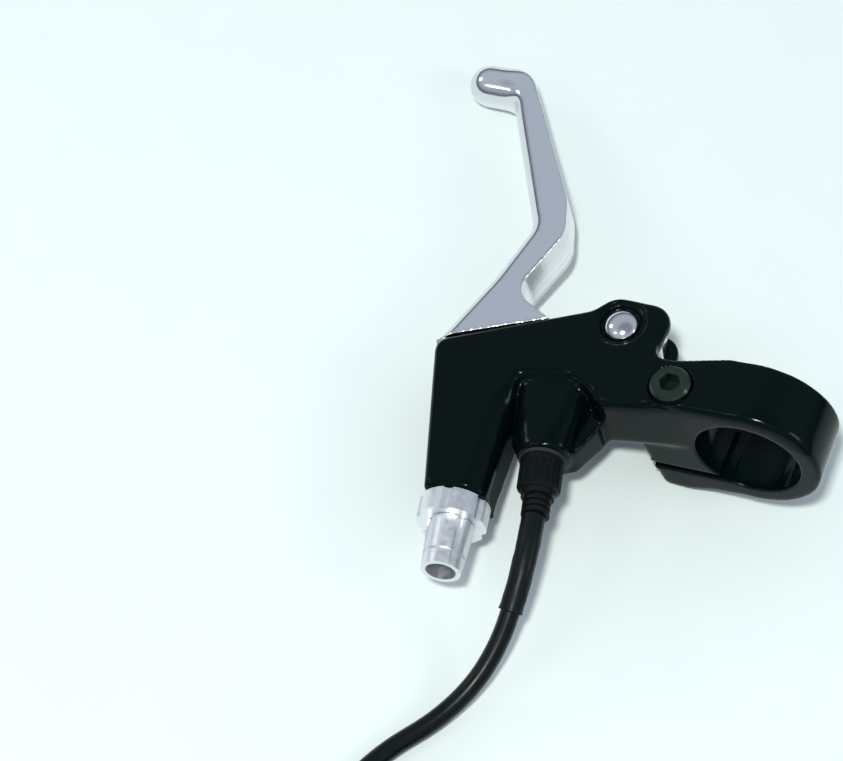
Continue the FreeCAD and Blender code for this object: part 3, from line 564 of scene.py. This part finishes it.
def boss_filling():
    """The squarish bulge of the switch boss, wide where it leaves the plate and round at the gland.

    A section is its place along the boss, its shift sideways, its half width, its lowest and highest
    level, and how square it is: 2 is an ellipse.
    """
    spokes = 48
    sections = (
        (-17.0, 1.3, 8.2, 0.4, 12.9, 4.2),
        (-12.0, 0.9, 7.3, 0.7, 12.9, 4.0),
        (-6.0, 0.3, 6.3, 1.1, 12.8, 3.4),
        (-0.4, 0.0, 5.6, 1.5, 12.5, 2.4),
    )
    # the boss's axis points out of the casting, and starts from the middle of its end face
    out = Vector((0.2297, -0.9733, 0.0))
    side = Vector((0.9733, 0.2297, 0.0))
    start = Vector((-38.1, -20.4, 0.0))
    mesh = bmesh.new()
    rings = []
    for along, shift, half, low, high, square in sections:
        ring = []
        for spoke in range(spokes):
            angle = 2 * math.pi * spoke / spokes
            across, over = math.cos(angle), math.sin(angle)
            swell = (abs(across) ** square + abs(over) ** square) ** (-1 / square)
            point = start + out * along + side * (shift + half * across * swell)
            point.z = (low + high) / 2 + (high - low) / 2 * over * swell
            ring.append(mesh.verts.new(ROLL @ (point * MM)))
        rings.append(ring)
    join_rings(mesh, rings)
    mesh.faces.new(rings[0])
    mesh.faces.new(rings[-1])
    bmesh.ops.recalc_face_normals(mesh, faces=mesh.faces)
    return finished(mesh, "boss_filling")


recast("lever_bracket", "cast_body", 0.30, "black_casting", "bracket",
       [(4, all_over), (22, cast_edges), (24, cast_hollows), (150, broad_edges)],
       extra=[boss_filling()], reshape=rounded_boss)
recast("brake_blade", "forged_blade", 0.24, "polished_blade", "blade", [(14, all_over), (90, knob)],
       reshape=ball_end)


def lathe(name, profile, place, slot, body, node, spokes=96):
    """A turned piece: profile is (radius, height) in millimetres, and place is its axis's frame."""
    mesh = bmesh.new()
    rings = []
    for radius, height in profile:
        if radius == 0.0:
            rings.append([mesh.verts.new(place @ Vector((0, 0, height * MM)))])
            continue
        rings.append([mesh.verts.new(place @ Vector((radius * MM * math.cos(2 * math.pi * spoke / spokes),
                                                     radius * MM * math.sin(2 * math.pi * spoke / spokes),
                                                     height * MM))) for spoke in range(spokes)])
    for first, second in zip(rings, rings[1:]):
        for spoke in range(spokes):
            after = (spoke + 1) % spokes
            corners = [first[spoke % len(first)], first[after % len(first)], second[after % len(second)],
                       second[spoke % len(second)]]
            mesh.faces.new(list(dict.fromkeys(corners)))
    bmesh.ops.recalc_face_normals(mesh, faces=mesh.faces)
    piece = linked(name, finished(mesh, name))
    shade_smooth(piece)
    paint(piece, slot)
    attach(piece, body)
    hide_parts(node)


def domed_pin():
    """The pivot pin: a plain shank and a polished head that is domed almost to its rim."""
    shank, rim, seat, edge, crown = 2.5, 3.7, 12.9, 13.35, 15.0
    profile = [(0.0, -5.0), (shank - 0.3, -5.0), (shank, -4.7), (shank, seat), (rim - 0.1, seat),
               (rim, seat + 0.1)]
    steps = 12
    whole = math.radians(70.0)
    for step in range(steps + 1):
        angle = whole * (1 - step / steps)
        radius = rim * math.sin(angle) / math.sin(whole)
        rise = (math.cos(angle) - math.cos(whole)) / (1 - math.cos(whole))
        profile.append((radius if step < steps else 0.0, edge + (crown - edge) * rise))
    place = ROLL @ Matrix.Translation((PIVOT[0] * MM, PIVOT[1] * MM, 0))
    lathe("domed_pivot_pin", profile, place, "polished_pin", "bracket", "pivot_pin")


domed_pin()

# the CAD's own pieces keep their shape and get their material, and the machined ones a fine edge
for subpart in frame["record"]["subparts"]:
    node = nodes[subpart["node"]]
    node.data.materials.clear()
    node.data.materials.append(MATERIALS[subpart["material_slot"]])
for name in ("pivot_nut", "clamp_bolt", "adjuster_lock_ring", "barrel_adjuster", "gland_nut",
             "strain_relief", "connector_housing"):
    edge = nodes[name].modifiers.new("edge", "BEVEL")
    edge.width = 0.18 * MM
    edge.segments = 3
    edge.limit_method = "ANGLE"
    edge.angle_limit = math.radians(40)


# ---------------------------------------------------------------- floor and light

def make_floor():
    mesh = bmesh.new()
    bmesh.ops.create_grid(mesh, x_segments=1, y_segments=1, size=4.0)
    floor = linked("floor", finished(mesh, "floor"))
    floor.location.z = TABLE - 0.02 * MM
    floor.data.materials.append(material(
        "pale_paper", (0.86, 0.92, 0.90), 0.60, grain=60.0, color_spread=0.01, bump=0.01))


def softbox(name, place, aim, width, height, power, color):
    """A rectangular lamp at a place, turned to another place. Sizes are in metres, power in watts."""
    data = bpy.data.lights.new(name, "AREA")
    data.shape = "RECTANGLE"
    data.size = width
    data.size_y = height
    data.energy = power
    data.color = color
    lamp = bpy.data.objects.new(name, data)
    lamp.location = place
    lamp.rotation_euler = (Vector(aim) - Vector(place)).to_track_quat("-Z", "Y").to_euler()
    bpy.context.scene.collection.objects.link(lamp)


def light_scene():
    """A pale studio: a dim horizon, a bluish ring of ceiling, darker overhead, and four soft lamps."""
    world = bpy.data.worlds.new("studio")
    bpy.context.scene.world = world
    world.use_nodes = True
    tree = world.node_tree
    place = tree.nodes.new("ShaderNodeTexCoord")
    split = tree.nodes.new("ShaderNodeSeparateXYZ")
    ceiling = tree.nodes.new("ShaderNodeValToRGB")
    set_stops(ceiling, [(0.08, 0.10, 0.11, 0.13), (0.42, 0.41, 0.47, 0.55), (0.78, 0.41, 0.47, 0.55),
                        (0.92, 0.24, 0.27, 0.30)])
    tree.links.new(place.outputs["Generated"], split.inputs["Vector"])
    tree.links.new(split.outputs["Z"], ceiling.inputs["Fac"])
    tree.links.new(ceiling.outputs["Color"], tree.nodes["Background"].inputs["Color"])
    centre = (-0.04, 0.0, 0.0)
    white = (1.0, 1.0, 1.0)
    softbox("key", (-0.12, -0.52, 1.20), centre, 0.11, 0.11, 11.8, (0.95, 1.0, 0.95))
    softbox("left", (-1.05, 0.10, 0.48), centre, 0.20, 0.20, 0.8, white)
    softbox("front", (-0.75, -0.56, 0.79), centre, 0.16, 0.16, 0.5, white)
    softbox("right", (0.95, 0.10, 0.70), centre, 0.22, 0.34, 1.4, white)
    bpy.context.scene.view_settings.view_transform = "Standard"


make_floor()
light_scene()
